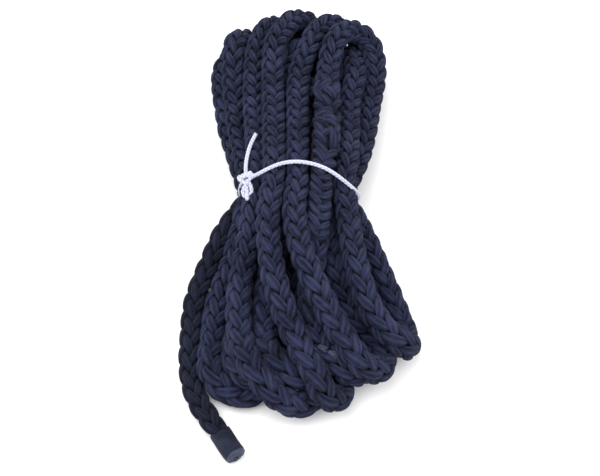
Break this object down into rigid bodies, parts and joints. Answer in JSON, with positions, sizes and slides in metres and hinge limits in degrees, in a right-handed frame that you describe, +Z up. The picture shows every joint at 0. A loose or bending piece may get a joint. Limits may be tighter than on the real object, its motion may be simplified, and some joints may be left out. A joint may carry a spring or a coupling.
{
  "type": "coiled dock line",
  "caption": "Plaited mooring rope with a spliced eye and a whipped end, wound into a flat hank and held at the waist by a thin knotted tie.",
  "frame": {"origin": "on the surface that the hank lies on, under the middle of the whole coiled line", "axes": "+Y along the hank towards its crown, -Y towards its foot and the whipped tail, +Z up from the surface, with the tie's knot towards -X and the eye's loop towards +X"},
  "size_m": [0.1326, 0.2846, 0.0604],
  "materials": {
    "navy_rope": "soft matte spun polyester yarn, dark navy",
    "whipping_twine": "tight waxed twine, slate navy, slight sheen",
    "fused_fibre": "heat-fused rope fibre, hard and slightly glossy",
    "white_tie_cord": "fine braided white polyester cord"
  },
  "bodies": {
    "root": {"rope_hank": "navy_rope", "rope_tail": "navy_rope", "eye_splice": "navy_rope", "splice_strand_ends": "navy_rope", "end_whipping": "whipping_twine", "fused_rope_end": "fused_fibre", "tie_loop": "white_tie_cord", "tie_knot": "white_tie_cord", "tie_long_end": "white_tie_cord", "tie_short_end": "white_tie_cord"}
  },
  "joints": []
}
